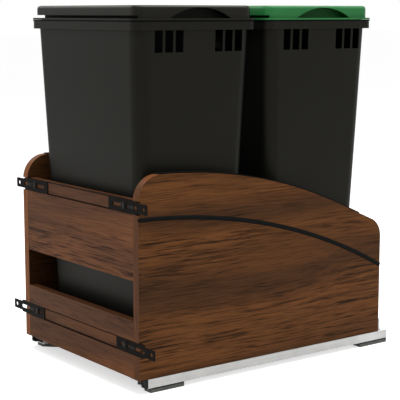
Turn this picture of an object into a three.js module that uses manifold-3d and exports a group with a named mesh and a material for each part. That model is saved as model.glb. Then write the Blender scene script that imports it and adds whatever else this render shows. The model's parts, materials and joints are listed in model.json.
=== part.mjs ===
// Pull-out waste cabinet: a walnut box on two full-extension floor slides, with two lidded bins
// standing one behind the other and four sliding brackets that take the cabinet's door.
//
// Units are millimetres. X runs left to right as seen from the front, Y from front to back, Z up.
// Pieces are placed from the front bottom edge of the wood (y = 0 on the front face, z = 0 under
// the wood). The group at the end moves the origin to the centre of the footprint, on the floor.

import * as THREE from 'three';
import { mergeVertices } from 'three/addons/utils/BufferGeometryUtils.js';
import Module from 'manifold-3d';

const wasm = await Module();
wasm.setup();

// ---------------------------------------------------------------- driving dimensions

const BOX_WIDTH = 390;            // over the outer faces of the side panels
const BOX_DEPTH = 559;            // front face to rear edge of the side panels
const PANEL_THICKNESS = 16;       // side panels
const BOARD_THICKNESS = 16;       // front boards, back board and base board
const JOINT_GAP = 0.3;            // hairline left between pieces that butt together

const PANEL_HEIGHT = 347;         // highest point of a side panel
const FRONT_CORNER_RADIUS = 44;   // round front top corner of a side panel
const TOP_ARC_RADIUS = 1000;      // long falling arc of a side panel's top edge
const REAR_STRAIGHT = 119;        // straight run of the top edge behind the falling arc
const REAR_CORNER_RADIUS = 38;    // round rear top corner of a side panel

const LOWER_BOARD_HEIGHT = 100;   // lower front board
const FRONT_SLOT_HEIGHT = 69;     // open slot between the front boards
const UPPER_BOARD_DROP = 41.5;    // upper front board's top below the panels' highest point
const BACK_BOARD_HEIGHT = 180;
const BASE_TOP = 22;              // top of the board that the bins stand on

const INLAY_HEIGHT = 7.3;         // curved black strip let into each side panel
const INLAY_DROP = 73;            // its centre line at the front edge, below the panel's top
const INLAY_ARC_RADIUS = 1170;
const INLAY_DEPTH = 3;            // let into the wood
const INLAY_PROUD = 2;            // standing out of the wood
const INLAY_EDGE_ROUND = 1.6;
const INLAY_CLEARANCE = 0.3;

const EDGE_STRIP_WIDTH = 12;      // black wear strip on the side panel's top edge
const EDGE_STRIP_THICKNESS = 2;
const EDGE_STRIP_END_GAP = 55;    // its rear end, in front of the panel's rear edge

const CLEAT_WIDTH = 14;           // battens that keep the bins from sliding on the base
const CLEAT_HEIGHT = 8;
const CLEAT_LENGTH = 220;
const CLEAT_CLEARANCE = 2;
const CLEAT_CORNER_RADIUS = 3;

// door brackets, and the track of two saw kerfs that each one slides in
const LOWER_TRACK_HEIGHT = 53.4;  // centre of the lower track above the wood's bottom
const UPPER_TRACK_DROP = 11.8;    // centre of the upper track below the upper board's top
const TRACK_CLEARANCE = 0.3;
const BRACKET_STEEL = 1.5;
const BRACKET_SETBACK = 0.2;      // bracket's face behind the face of the wood
const BRACKET_PLATE_LENGTH = 85.3;
const BRACKET_HEIGHT = 23;        // over the two lips, which are bent back into the kerfs
const BRACKET_LIP_DEPTH = 3.6;    // from the face to the lips' rear edges
const BRACKET_TAB_LENGTH = 30.7;
const BRACKET_TAB_HEIGHT = 17.5;
const BRACKET_TAB_LAP = 4;        // tab's root inside the plate
const BRACKET_CORNER_RADIUS = 2;
const BRACKET_SLOT_HEIGHT = 6.6;
const BRACKET_SLOT_START = 11.5;  // slot's inner end from the plate's inner end
const BRACKET_SLOT_LENGTH = 75;
const DOOR_SCREW_HOLE = 7;
const DOOR_SCREW_INSET = 9.8;     // hole centre from the tab's outer end
const UPPER_BRACKET_REACH = 25.2; // tab's end outside the side panel
const LOWER_BRACKET_REACH = 45.6; // the lower brackets are set further out

const CLAMP_INSET = 44.1;         // clamp's screw disc inside the side panel's outer face
const CLAMP_DISC_RADIUS = 6.5;
const CLAMP_DISC_TAPER = 1.4;     // disc's front smaller than its back
const CLAMP_THICKNESS = 2;        // disc's front in front of the wood
const CLAMP_BAR_HEIGHT = 5.8;     // guide bar in the bracket's slot
const CLAMP_BAR_REACH = 31.1;     // its end from the disc's centre
const CLAMP_BAR_SETBACK = 0.3;    // behind the bracket's face
const CLAMP_WINDOW = [7.5, 14];   // window in the bar, from the disc's centre
const CLAMP_WINDOW_HEIGHT = 3.6;

// bins and lids
const BIN_SIDE_GAP = 4;           // rim inside the side panels' inner faces
const BIN_END_GAP = 9.5;          // rims inside the front face and the rear edge
const BIN_GAP = 19.7;             // between the two rims
const BIN_HEIGHT = 577.5;
const BIN_WALL = 2.2;
const BIN_DRAFT = 0.038;          // taper of each wall, mm per mm of height
const BIN_SIDE_OVERHANG = 6;      // rim over the side walls just below it
const BIN_END_OVERHANG = 8;       // rim over the front and back walls
const BIN_RIM_HEIGHT = 16;        // whole turned-over rim
const BIN_RIM_LIP_HEIGHT = 2;     // thin lip along the rim's top
const BIN_RIM_LIP_PROUD = 1;
const BIN_RIM_RADIUS = 17;        // rim's corners
const BIN_WALL_RADIUS = 25;       // wall's corners, rounder than the rim's
const BIN_FOOT_RADIUS = 16;       // round edge round the bottom
const VENT_WIDTH = 16;            // dark slots under the rim
const VENT_PITCH = 21.3;
const VENT_COUNT = 3;
const VENT_DROP = 37;             // slot below the rim's edge
const VENT_RISE = 3;              // slot's top, hidden behind the rim
const VENT_GROUP_OFFSET = 63;     // group centres either side of the slots' middle
const VENT_SHIFT = 6.5;           // slots' middle behind the bin's middle
const VENT_CUT_DEPTH = 10;        // reaches through the wall into the bin

const LID_GAP = 0.4;              // lid flange above the bin's rim
const LID_FLANGE_INSET = 0.2;     // flange edge inside the rim's edge
const LID_FLANGE_THICKNESS = 3;
const LID_CAP_INSET = 6;          // raised cap inside the rim's edge
const LID_CAP_HEIGHT = 22;        // above the flange
const LID_CAP_RADIUS = 17;        // cap's upright corners
const LID_EDGE_RADIUS = 6;        // round edge round the cap's top
const LID_WALL = 2.5;
const LID_PLUG_DEPTH = 6;         // skirt that drops into the bin's mouth
const LID_PLUG_CLEARANCE = 1.2;
const LID_PLUG_TAPER = 1;
const LID_HANDLE_HEIGHT = 5;      // low finger gap along the front, open at its left end
const LID_HANDLE_DEPTH = 23;
const LID_HANDLE_END_WALL = 3.5;  // what closes its right end
const LID_GRIP_LENGTH = 129;      // arched scoop in each side
const LID_GRIP_HEIGHT = 18.6;
const LID_GRIP_DEPTH = 16;
const LID_GRIP_SHIFT = 9.5;       // scoop's middle behind the lid's middle

// slides, feet and fittings
const BASE_HEIGHT = 25;           // wood above the floor
const STEEL = 1.5;                // slide members' sheet
const SLIDE_FRONT = 18.5;         // cabinet member's front end behind the wood's front
const SLIDE_REAR_REACH = 23;      // cabinet member behind the wood's rear edge
const SLIDE_WIDTH = 33.6;
const SLIDE_FACE_INSET = 0.4;     // slide's outer face inside the side panel's
const SLIDE_TOP_GAP = 0.6;
const SLIDE_DEPTH_BELOW = 16.6;   // underside of the cabinet member below the wood
const SLIDE_INNER_LIP = 8.4;
const MEMBER_FRONT = 30;          // front ends of the middle and drawer members
const MIDDLE_REAR_GAP = 9;        // middle member's rear end in front of the wood's rear edge
const MIDDLE_SIDE_GAP = 2.1;
const MIDDLE_STEEL = 1.2;
const MIDDLE_FLOOR_GAP = 3.2;
const MIDDLE_TOP = 3.2;
const DRAWER_SIDE_GAP = 3;
const DRAWER_MEMBER_LEG = 6.9;
const DRAWER_REAR_GAP = 4;        // drawer member's legs in front of the wood's rear edge
const DRAWER_TONGUE_LAP = 16;     // tongue's root inside the legs
const DRAWER_MEMBER_REAR = 14;    // drawer member's tongue behind the wood
const CAGE_LENGTH = 240;
const CAGE_ROLLERS = 6;
const CAGE_SHEET = 0.8;
const CAGE_SIDE_GAP = 1;
const ROLLER_GAP = 0.3;
const ROLLER_END_GAP = 1.5;       // roller's ends inside the cage's edges

const CAP_LENGTH = 6.8;           // black end cap on the front of each cabinet member
const CAP_WIDTH = 11;             // its sill, under the path of the middle member
const CAP_FLOOR_GAP = 1;          // cap above the cabinet member's underside
const CAP_PROUD = 0.2;            // cap outside the slide's outer face
const CAP_CORNER_RADIUS = 2;
const CLIP_WIDTH = 34;            // locking clip under the lower front board
const CLIP_HEIGHT = 6.8;
const CLIP_CORNER_RADIUS = 2;
const LEVER_WIDTH = 11;           // release lever beside each clip, pivoted in its round rear end
const LEVER_LENGTH = 16;
const LEVER_HEIGHT = 5;
const LEVER_GAP = 0.6;
const LEVER_NOSE_RADIUS = 4;

const HOOK_HEIGHT = 22.5;         // bracket behind each side panel
const HOOK_LENGTH = 12;
const HOOK_THICKNESS = 2.5;
const HOOK_PIN_RADIUS = 2.5;
const HOOK_PIN_LENGTH = 8;
const HOOK_PIN_ROOT = 1;          // pin's root inside the plate
const HOOK_HOLE_RADIUS = 2;
const HOOK_HOLE_INSET = 7.2;      // hole behind the wood, and below the plate's top
const HOOK_HOLE_DROP = 5;
const HOOK_CORNER_RADIUS = 5;
const HOOK_FOOT_INSET = 2;

const PAD_THICKNESS = 1.4;        // black pad between slide and foot
const FOOT_LENGTH = 70;
const FOOT_FRONT_WIDTH = 20;
const FOOT_WIDTH = 52;
const FOOT_SLANT = 32;
const FOOT_FRONT_INSET = 5;       // front foot behind the slide's front end
const FOOT_SCREW_RADIUS = 2.5;
const FOOT_SCREW_SIDE_INSET = 8;  // screw hole inside the foot's inner and rear edges
const FOOT_SCREW_REAR_INSET = 14;
const PAD_FRONT_INSET = 3;

const CUT_MARGIN = 1;             // how far a cutter runs past the face that it opens
const CUT_THROUGH = 20;           // longer than any sheet piece is thick

// ---------------------------------------------------------------- derived places

const HALF_WIDTH = BOX_WIDTH / 2;
const INNER_HALF = HALF_WIDTH - PANEL_THICKNESS;
const UPPER_BOARD_BOTTOM = LOWER_BOARD_HEIGHT + FRONT_SLOT_HEIGHT;
const UPPER_BOARD_TOP = PANEL_HEIGHT - UPPER_BOARD_DROP;
const UPPER_TRACK_HEIGHT = UPPER_BOARD_TOP - UPPER_TRACK_DROP;
const TRACK_FLOOR = BRACKET_SETBACK + BRACKET_STEEL + TRACK_CLEARANCE;
const KERF_WIDTH = BRACKET_STEEL + 2 * TRACK_CLEARANCE;
const SLIDE_REAR = BOX_DEPTH + SLIDE_REAR_REACH;
const MIDDLE_REAR = BOX_DEPTH - MIDDLE_REAR_GAP;
const DRAWER_REAR = BOX_DEPTH - DRAWER_REAR_GAP;
const BIN_WIDTH = 2 * (INNER_HALF - BIN_SIDE_GAP);
const BIN_LENGTH = (BOX_DEPTH - 2 * BIN_END_GAP - BIN_GAP) / 2;
const BIN_BOTTOM = BASE_TOP + JOINT_GAP;
const BIN_TOP = BIN_BOTTOM + BIN_HEIGHT;
const FRONT_BIN_Y = BIN_END_GAP + BIN_LENGTH / 2;
const REAR_BIN_Y = BOX_DEPTH - FRONT_BIN_Y;
const FRONT_REACH = -CLAMP_THICKNESS;
const REAR_REACH = SLIDE_REAR;

// ---------------------------------------------------------------- materials

const finish = (color, roughness, metalness = 0) =>
  new THREE.MeshStandardMaterial({ color, roughness, metalness });

const WALNUT = finish(0x6b4a35, 0.55);
const BLACK_STRIP = finish(0x1d201e, 0.6);
const BLACK_STEEL = finish(0x262a2c, 0.5, 0.4);
const BIN_BLACK = finish(0x2e2e2b, 0.55);
const LID_GREEN = finish(0x358a4a, 0.45);
const ZINC = finish(0xb4b6b6, 0.35, 0.9);
const BLACK_PLASTIC = finish(0x202423, 0.5);
const FOOT_GREY = finish(0x6b6c65, 0.7, 0.2);

// ---------------------------------------------------------------- solids

const cabinet = new THREE.Group();

function addPart(name, geometry, material) {
  const mesh = new THREE.Mesh(geometry, material);
  mesh.name = name;
  cabinet.add(mesh);
}

function toSolid(geometry) {
  const bare = geometry.clone();
  bare.deleteAttribute('normal');
  bare.deleteAttribute('uv');
  const merged = mergeVertices(bare, 1e-4);
  const vertProperties = new Float32Array(merged.attributes.position.array);
  const triVerts = new Uint32Array(merged.index.array);
  return new wasm.Manifold(new wasm.Mesh({ numProp: 3, vertProperties, triVerts }));
}

function toGeometry(solid) {
  const mesh = solid.getMesh();
  const geometry = new THREE.BufferGeometry();
  geometry.setAttribute('position', new THREE.BufferAttribute(mesh.vertProperties, 3));
  geometry.setIndex(new THREE.BufferAttribute(mesh.triVerts, 1));
  geometry.computeVertexNormals();
  return geometry;
}

const cut = (geometry, ...tools) =>
  toGeometry(tools.reduce((solid, tool) => solid.subtract(toSolid(tool)), toSolid(geometry)));

const join = (geometry, ...others) =>
  toGeometry(others.reduce((solid, other) => solid.add(toSolid(other)), toSolid(geometry)));

function box([x0, x1], [y0, y1], [z0, z1]) {
  const geometry = new THREE.BoxGeometry(x1 - x0, y1 - y0, z1 - z0);
  return geometry.translate((x0 + x1) / 2, (y0 + y1) / 2, (z0 + z1) / 2);
}

// An outline drawn in the first two axes given is pushed along the third, from start to end.
function push(shape, axes, start, end, options = {}) {
  const round = options.round ?? 0;
  const geometry = new THREE.ExtrudeGeometry(shape, {
    depth: end - start - 2 * round,
    bevelEnabled: round > 0,
    bevelThickness: round,
    bevelSize: round,
    bevelOffset: -round,
    bevelSegments: 1,
    curveSegments: options.segments ?? 8,
  });
  geometry.translate(0, 0, start + round);
  return geometry.applyMatrix4(new THREE.Matrix4().makeBasis(...axes));
}

const X_AXIS = new THREE.Vector3(1, 0, 0);
const Y_AXIS = new THREE.Vector3(0, 1, 0);
const Z_AXIS = new THREE.Vector3(0, 0, 1);
const SIDE_VIEW = [Y_AXIS, Z_AXIS, X_AXIS];                    // drawn in y, z; pushed along x
const FRONT_VIEW = [X_AXIS, Z_AXIS, Y_AXIS.clone().negate()];  // drawn in x, z; pushed along -y
const PLAN_VIEW = [X_AXIS, Y_AXIS, Z_AXIS];                    // drawn in x, y; pushed along z

const pushAcross = (shape, x0, x1, options) => push(shape, SIDE_VIEW, x0, x1, options);
const pushBack = (shape, y0, y1, options) => push(shape, FRONT_VIEW, -y1, -y0, options);
const pushUp = (shape, z0, z1, options) => push(shape, PLAN_VIEW, z0, z1, options);

function mirrorX(geometry) {
  const mirrored = geometry.clone().applyMatrix4(new THREE.Matrix4().makeScale(-1, 1, 1));
  const index = mirrored.index ?? indexOf(mirrored);
  for (let i = 0; i < index.count; i += 3) {
    const second = index.getX(i + 1);
    index.setX(i + 1, index.getX(i + 2));
    index.setX(i + 2, second);
  }
  mirrored.setIndex(index);
  mirrored.computeVertexNormals();
  return mirrored;
}

function indexOf(geometry) {
  const order = Array.from({ length: geometry.attributes.position.count }, (_, i) => i);
  return new THREE.Uint32BufferAttribute(order, 1);
}

// A right-hand piece and its left-hand mirror image.
function addPair(name, geometry, material) {
  addPart(`${name}_right`, geometry, material);
  addPart(`${name}_left`, mirrorX(geometry), material);
}

function outline(points) {
  return new THREE.Shape(points.map(([a, b]) => new THREE.Vector2(a, b)));
}

function roundedRectangle([a0, a1], [b0, b1], radii) {
  const [r00, r10, r11, r01] = Array.isArray(radii) ? radii : [radii, radii, radii, radii];
  const shape = new THREE.Shape();
  shape.moveTo(a0 + r00, b0);
  shape.lineTo(a1 - r10, b0);
  if (r10 > 0) shape.absarc(a1 - r10, b0 + r10, r10, -Math.PI / 2, 0, false);
  shape.lineTo(a1, b1 - r11);
  if (r11 > 0) shape.absarc(a1 - r11, b1 - r11, r11, 0, Math.PI / 2, false);
  shape.lineTo(a0 + r01, b1);
  if (r01 > 0) shape.absarc(a0 + r01, b1 - r01, r01, Math.PI / 2, Math.PI, false);
  shape.lineTo(a0, b0 + r00);
  if (r00 > 0) shape.absarc(a0 + r00, b0 + r00, r00, Math.PI, Math.PI * 1.5, false);
  return shape;
}

// A closed skin through rings of rounded rectangles; it starts and ends with a flat cap.
const CORNER_STEPS = 5;

function ring({ halfX, halfY, radius, z }, middleY) {
  const points = [];
  const corners = [[1, 1, 0], [-1, 1, 1], [-1, -1, 2], [1, -1, 3]];
  for (const [sideX, sideY, quarter] of corners) {
    for (let step = 0; step <= CORNER_STEPS; step++) {
      const angle = (quarter + step / CORNER_STEPS) * Math.PI / 2;
      points.push(
        sideX * (halfX - radius) + radius * Math.cos(angle),
        middleY + sideY * (halfY - radius) + radius * Math.sin(angle),
        z,
      );
    }
  }
  return points;
}

function loft(sections, middleY) {
  const count = 4 * (CORNER_STEPS + 1);
  const positions = sections.flatMap((section) => ring(section, middleY));
  const triangles = [];
  for (let row = 0; row + 1 < sections.length; row++) {
    for (let i = 0; i < count; i++) {
      const a = row * count + i;
      const b = row * count + (i + 1) % count;
      triangles.push(a, b, b + count, a, b + count, a + count);
    }
  }
  const last = (sections.length - 1) * count;
  for (let i = 1; i + 1 < count; i++) {
    triangles.push(0, i + 1, i, last, last + i, last + i + 1);
  }
  const geometry = new THREE.BufferGeometry();
  geometry.setAttribute('position', new THREE.Float32BufferAttribute(positions, 3));
  geometry.setIndex(triangles);
  return geometry;
}

// ---------------------------------------------------------------- side panels

const TOP_ARC_REACH = BOX_DEPTH - FRONT_CORNER_RADIUS - REAR_STRAIGHT;
const TOP_ARC_CENTRE = [FRONT_CORNER_RADIUS, PANEL_HEIGHT - TOP_ARC_RADIUS];
const TOP_ARC_ANGLE = Math.asin(TOP_ARC_REACH / TOP_ARC_RADIUS);

function panelOutline() {
  const arcEndY = FRONT_CORNER_RADIUS + TOP_ARC_REACH;
  const arcEndZ = TOP_ARC_CENTRE[1] + TOP_ARC_RADIUS * Math.cos(TOP_ARC_ANGLE);
  const slope = Math.tan(TOP_ARC_ANGLE);
  const cornerZ = arcEndZ - slope * (BOX_DEPTH - arcEndY);
  const turn = Math.PI / 2 - TOP_ARC_ANGLE;
  const setBack = REAR_CORNER_RADIUS * Math.tan(turn / 2);
  const filletZ = cornerZ - setBack;

  const shape = new THREE.Shape();
  shape.moveTo(0, 0);
  shape.lineTo(BOX_DEPTH, 0);
  shape.lineTo(BOX_DEPTH, filletZ);
  shape.absarc(BOX_DEPTH - REAR_CORNER_RADIUS, filletZ, REAR_CORNER_RADIUS, 0, turn, false);
  shape.lineTo(arcEndY, arcEndZ);
  shape.absarc(...TOP_ARC_CENTRE, TOP_ARC_RADIUS,
    Math.PI / 2 - TOP_ARC_ANGLE, Math.PI / 2, false);
  shape.absarc(FRONT_CORNER_RADIUS, PANEL_HEIGHT - FRONT_CORNER_RADIUS, FRONT_CORNER_RADIUS,
    Math.PI / 2, Math.PI, false);
  return shape;
}

// The inlay follows an arc that is level at the front edge and falls towards the rear.
function inlayOutline(growth) {
  const half = INLAY_HEIGHT / 2 + growth;
  const centreZ = PANEL_HEIGHT - INLAY_DROP - INLAY_ARC_RADIUS;
  const front = Math.PI / 2 - (INLAY_HEIGHT / 2) / INLAY_ARC_RADIUS;
  const rear = Math.PI / 2 - Math.asin((BOX_DEPTH + growth) / INLAY_ARC_RADIUS);
  const shape = new THREE.Shape();
  shape.absarc(0, centreZ, INLAY_ARC_RADIUS - half, front, rear, true);
  shape.absarc(0, centreZ, INLAY_ARC_RADIUS + half, rear, front, false);
  const endY = INLAY_ARC_RADIUS * Math.cos(front);
  const endZ = centreZ + INLAY_ARC_RADIUS * Math.sin(front);
  shape.absarc(endY, endZ, half, front, front + Math.PI, false);
  return shape;
}

// Track for a door bracket, cut across the boards and the panels' front edges: a shallow recess
// as deep as the bracket's sheet, between two kerfs for its lips.
function bracketTrack(height, above) {
  const mouth = BRACKET_HEIGHT / 2 + TRACK_CLEARANCE;
  const kerfDepth = BRACKET_SETBACK + BRACKET_LIP_DEPTH + TRACK_CLEARANCE;
  const top = Math.max(mouth, above);
  const span = [-BOX_WIDTH, BOX_WIDTH];
  return join(
    box(span, [-CUT_MARGIN, TRACK_FLOOR], [height - mouth, height + top]),
    box(span, [-CUT_MARGIN, kerfDepth], [height - mouth, height - mouth + KERF_WIDTH]),
    box(span, [-CUT_MARGIN, kerfDepth], [height + mouth - KERF_WIDTH, height + top]),
  );
}

const lowerTrack = () => bracketTrack(LOWER_TRACK_HEIGHT, 0);
const upperTrack = () => bracketTrack(UPPER_TRACK_HEIGHT, UPPER_TRACK_DROP + CUT_MARGIN);

const hookPinHole = () => {
  const hole = new THREE.CylinderGeometry(
    HOOK_PIN_RADIUS + JOINT_GAP, HOOK_PIN_RADIUS + JOINT_GAP, 2 * HOOK_PIN_LENGTH, 12);
  return hole.translate(HOOK_X, BOX_DEPTH, HOOK_PIN_HEIGHT);
};

const SLIDE_OUTER_X = HALF_WIDTH - SLIDE_FACE_INSET;
const HOOK_X = SLIDE_OUTER_X - MIDDLE_SIDE_GAP - DRAWER_SIDE_GAP - STEEL - HOOK_THICKNESS;
const HOOK_PIN_HEIGHT = HOOK_HEIGHT / 2;

addPair('side_panel', cut(
  pushAcross(panelOutline(), INNER_HALF, HALF_WIDTH),
  pushAcross(inlayOutline(INLAY_CLEARANCE), HALF_WIDTH - INLAY_DEPTH, HALF_WIDTH + CUT_MARGIN),
  lowerTrack(),
  bracketTrack(UPPER_TRACK_HEIGHT, 0),
  hookPinHole(),
), WALNUT);

addPair('inlay_strip', pushAcross(inlayOutline(0),
  HALF_WIDTH - INLAY_DEPTH + INLAY_CLEARANCE, HALF_WIDTH + INLAY_PROUD,
  { round: INLAY_EDGE_ROUND }), BLACK_STRIP);

function edgeStripOutline() {
  const inner = TOP_ARC_RADIUS + JOINT_GAP;
  const outer = TOP_ARC_RADIUS + EDGE_STRIP_THICKNESS;
  const rear = Math.PI / 2 - TOP_ARC_ANGLE;
  const along = [Math.cos(rear - Math.PI / 2), Math.sin(rear - Math.PI / 2)];
  const straight = (BOX_DEPTH - EDGE_STRIP_END_GAP - FRONT_CORNER_RADIUS - TOP_ARC_REACH)
    / along[0];
  const end = (radius) => [
    TOP_ARC_CENTRE[0] + radius * Math.cos(rear) + straight * along[0],
    TOP_ARC_CENTRE[1] + radius * Math.sin(rear) + straight * along[1],
  ];
  const shape = new THREE.Shape();
  shape.moveTo(TOP_ARC_CENTRE[0], TOP_ARC_CENTRE[1] + inner);
  shape.absarc(...TOP_ARC_CENTRE, inner, Math.PI / 2, rear, true);
  shape.lineTo(...end(inner));
  shape.lineTo(...end(outer));
  shape.absarc(...TOP_ARC_CENTRE, outer, rear, Math.PI / 2, false);
  return shape;
}

const STRIP_MARGIN = (PANEL_THICKNESS - EDGE_STRIP_WIDTH) / 2;
addPair('edge_strip', pushAcross(edgeStripOutline(),
  INNER_HALF + STRIP_MARGIN, HALF_WIDTH - STRIP_MARGIN), BLACK_STRIP);

// ---------------------------------------------------------------- boards

const BOARD_SPAN = [-INNER_HALF + JOINT_GAP, INNER_HALF - JOINT_GAP];

addPart('lower_front_board', cut(
  box(BOARD_SPAN, [0, BOARD_THICKNESS], [0, LOWER_BOARD_HEIGHT]),
  lowerTrack(),
), WALNUT);

addPart('upper_front_board', cut(
  box(BOARD_SPAN, [0, BOARD_THICKNESS], [UPPER_BOARD_BOTTOM, UPPER_BOARD_TOP]),
  upperTrack(),
), WALNUT);

addPart('back_board',
  box(BOARD_SPAN, [BOX_DEPTH - BOARD_THICKNESS, BOX_DEPTH], [0, BACK_BOARD_HEIGHT]), WALNUT);

addPart('base_board', box(BOARD_SPAN,
  [BOARD_THICKNESS + JOINT_GAP, BOX_DEPTH - BOARD_THICKNESS - JOINT_GAP],
  [BASE_TOP - BOARD_THICKNESS, BASE_TOP]), WALNUT);

// ---------------------------------------------------------------- bins

const RIM_LOW = BIN_TOP - BIN_RIM_HEIGHT;
const RIM_X = BIN_WIDTH / 2;
const RIM_Y = BIN_LENGTH / 2;

// One level of a bin or a lid: how far it lies inside the rim's sides and ends.
function section([side, end], z, radius) {
  return { halfX: RIM_X - side, halfY: RIM_Y - end, radius, z };
}

// The bin's outer wall at a height, after the taper, with the thickness taken off inside.
function wall(z, thickness = 0) {
  const inset = Math.max(0, RIM_LOW - z) * BIN_DRAFT + thickness;
  return section([BIN_SIDE_OVERHANG + inset, BIN_END_OVERHANG + inset], z,
    BIN_WALL_RADIUS - thickness);
}

function binSections() {
  const lip = BIN_TOP - BIN_RIM_LIP_HEIGHT;
  const face = BIN_RIM_LIP_PROUD;
  const back = BIN_RIM_LIP_PROUD + BIN_WALL;
  const foot = [0, 0.5, 1].map((share) => {
    const angle = share * Math.PI / 2;
    const level = wall(BIN_BOTTOM + BIN_FOOT_RADIUS * (1 - Math.cos(angle)));
    const pull = BIN_FOOT_RADIUS * (1 - Math.sin(angle));
    return { ...level, halfX: level.halfX - pull, halfY: level.halfY - pull };
  });
  return [
    ...foot,
    wall(RIM_LOW),
    wall(lip - BIN_WALL),
    section([back, back], lip - BIN_WALL, BIN_RIM_RADIUS - BIN_WALL),
    section([back, back], RIM_LOW, BIN_RIM_RADIUS - BIN_WALL),
    section([face, face], RIM_LOW, BIN_RIM_RADIUS),
    section([face, face], lip, BIN_RIM_RADIUS),
    section([0, 0], lip, BIN_RIM_RADIUS),
    section([0, 0], BIN_TOP, BIN_RIM_RADIUS),
    wall(BIN_TOP, BIN_WALL),
    wall(BIN_BOTTOM + BIN_FOOT_RADIUS, BIN_WALL),
    wall(BIN_BOTTOM + BIN_WALL, BIN_FOOT_RADIUS),
  ];
}

// Slots under the rim in both side walls, cut from the space behind the rim into the bin.
function ventCutters(middleY) {
  const outer = RIM_X - (BIN_SIDE_OVERHANG + BIN_RIM_LIP_PROUD + BIN_WALL) / 2;
  const across = [[outer - VENT_CUT_DEPTH, outer], [-outer, VENT_CUT_DEPTH - outer]];
  const cutters = [];
  for (const group of [-1, 1]) {
    for (let i = 0; i < VENT_COUNT; i++) {
      const y = middleY + VENT_SHIFT + group * VENT_GROUP_OFFSET
        + (i - (VENT_COUNT - 1) / 2) * VENT_PITCH;
      for (const span of across) {
        cutters.push(box(span, [y - VENT_WIDTH / 2, y + VENT_WIDTH / 2],
          [RIM_LOW - VENT_DROP, RIM_LOW + VENT_RISE]));
      }
    }
  }
  return cutters;
}

function binGeometry(middleY) {
  return cut(loft(binSections(), middleY), ...ventCutters(middleY));
}

const LID_BOTTOM = BIN_TOP + LID_GAP;
const FLANGE_TOP = LID_BOTTOM + LID_FLANGE_THICKNESS;
const LID_TOP = FLANGE_TOP + LID_CAP_HEIGHT;

// The skirt that fits the bin's mouth, with an extra inset for its taper or for its hollow.
function plug(z, extra) {
  const inset = BIN_WALL + LID_PLUG_CLEARANCE + extra;
  return section([BIN_SIDE_OVERHANG + inset, BIN_END_OVERHANG + inset], z,
    BIN_WALL_RADIUS - inset);
}

function lidOuter() {
  const flange = [LID_FLANGE_INSET, LID_FLANGE_INSET];
  const edge = [0, 0.33, 0.67, 1].map((share) => {
    const angle = share * Math.PI / 2;
    const pull = LID_CAP_INSET + LID_EDGE_RADIUS * (1 - Math.cos(angle));
    return section([pull, pull], LID_TOP - LID_EDGE_RADIUS * (1 - Math.sin(angle)),
      LID_CAP_RADIUS - LID_EDGE_RADIUS * (1 - Math.cos(angle)));
  });
  return [
    plug(LID_BOTTOM - LID_PLUG_DEPTH, LID_PLUG_TAPER),
    plug(LID_BOTTOM, 0),
    section(flange, LID_BOTTOM, BIN_RIM_RADIUS),
    section(flange, FLANGE_TOP, BIN_RIM_RADIUS),
    section([LID_CAP_INSET, LID_CAP_INSET], FLANGE_TOP, LID_CAP_RADIUS),
    ...edge,
  ];
}

function lidHollow() {
  return [
    plug(LID_BOTTOM - LID_PLUG_DEPTH - CUT_MARGIN, LID_PLUG_TAPER + LID_WALL),
    plug(LID_TOP - LID_WALL, LID_WALL),
  ];
}

// Finger gap along the lid's front, or the same pocket grown by the wall for its lining.
function handlePocket(middleY, growth) {
  const front = middleY - RIM_Y;
  const right = RIM_X - LID_CAP_INSET - LID_HANDLE_END_WALL;
  return box([-RIM_X - CUT_MARGIN, right + growth],
    [front - CUT_MARGIN, front + LID_CAP_INSET + LID_HANDLE_DEPTH + growth],
    [FLANGE_TOP - growth, FLANGE_TOP + LID_HANDLE_HEIGHT + growth]);
}

// Arched scoop in the lid's side, or the same scoop grown by the wall for its lining.
function gripPocket(middleY, side, growth) {
  const half = LID_GRIP_LENGTH / 2;
  const radius = (half * half + LID_GRIP_HEIGHT * LID_GRIP_HEIGHT) / (2 * LID_GRIP_HEIGHT);
  const centreZ = FLANGE_TOP + LID_GRIP_HEIGHT - radius;
  const reach = Math.asin(half / radius);
  const shape = new THREE.Shape();
  shape.absarc(middleY + LID_GRIP_SHIFT, centreZ, radius + growth,
    Math.PI / 2 + reach, Math.PI / 2 - reach, true);
  const scoop = pushAcross(shape, RIM_X - LID_CAP_INSET - LID_GRIP_DEPTH - growth,
    RIM_X + CUT_MARGIN);
  return side > 0 ? scoop : mirrorX(scoop);
}

function lidGeometry(middleY) {
  const linings = [handlePocket(middleY, LID_WALL),
    gripPocket(middleY, 1, LID_WALL), gripPocket(middleY, -1, LID_WALL)];
  const hollow = cut(loft(lidHollow(), middleY), ...linings);
  return cut(loft(lidOuter(), middleY), hollow, handlePocket(middleY, 0),
    gripPocket(middleY, 1, 0), gripPocket(middleY, -1, 0));
}

addPart('front_bin', binGeometry(FRONT_BIN_Y), BIN_BLACK);
addPart('rear_bin', binGeometry(REAR_BIN_Y), BIN_BLACK);
addPart('front_lid', lidGeometry(FRONT_BIN_Y), BIN_BLACK);
addPart('rear_lid', lidGeometry(REAR_BIN_Y), LID_GREEN);

// Battens on the base, one against the foot of each bin's front and back.
const BIN_FOOT_HALF = wall(BASE_TOP + CLEAT_HEIGHT).halfY;

function addCleat(name, middleY, side) {
  const near = middleY + side * (BIN_FOOT_HALF + CLEAT_CLEARANCE);
  const far = near + side * CLEAT_WIDTH;
  const plan = roundedRectangle([-CLEAT_LENGTH / 2, CLEAT_LENGTH / 2],
    [Math.min(near, far), Math.max(near, far)], CLEAT_CORNER_RADIUS);
  addPart(name, pushUp(plan, BASE_TOP + JOINT_GAP, BASE_TOP + CLEAT_HEIGHT, { segments: 2 }),
    WALNUT);
}

addCleat('front_bin_cleat_front', FRONT_BIN_Y, -1);
addCleat('front_bin_cleat_back', FRONT_BIN_Y, 1);
addCleat('rear_bin_cleat_front', REAR_BIN_Y, -1);
addCleat('rear_bin_cleat_back', REAR_BIN_Y, 1);

// ---------------------------------------------------------------- door brackets

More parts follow.
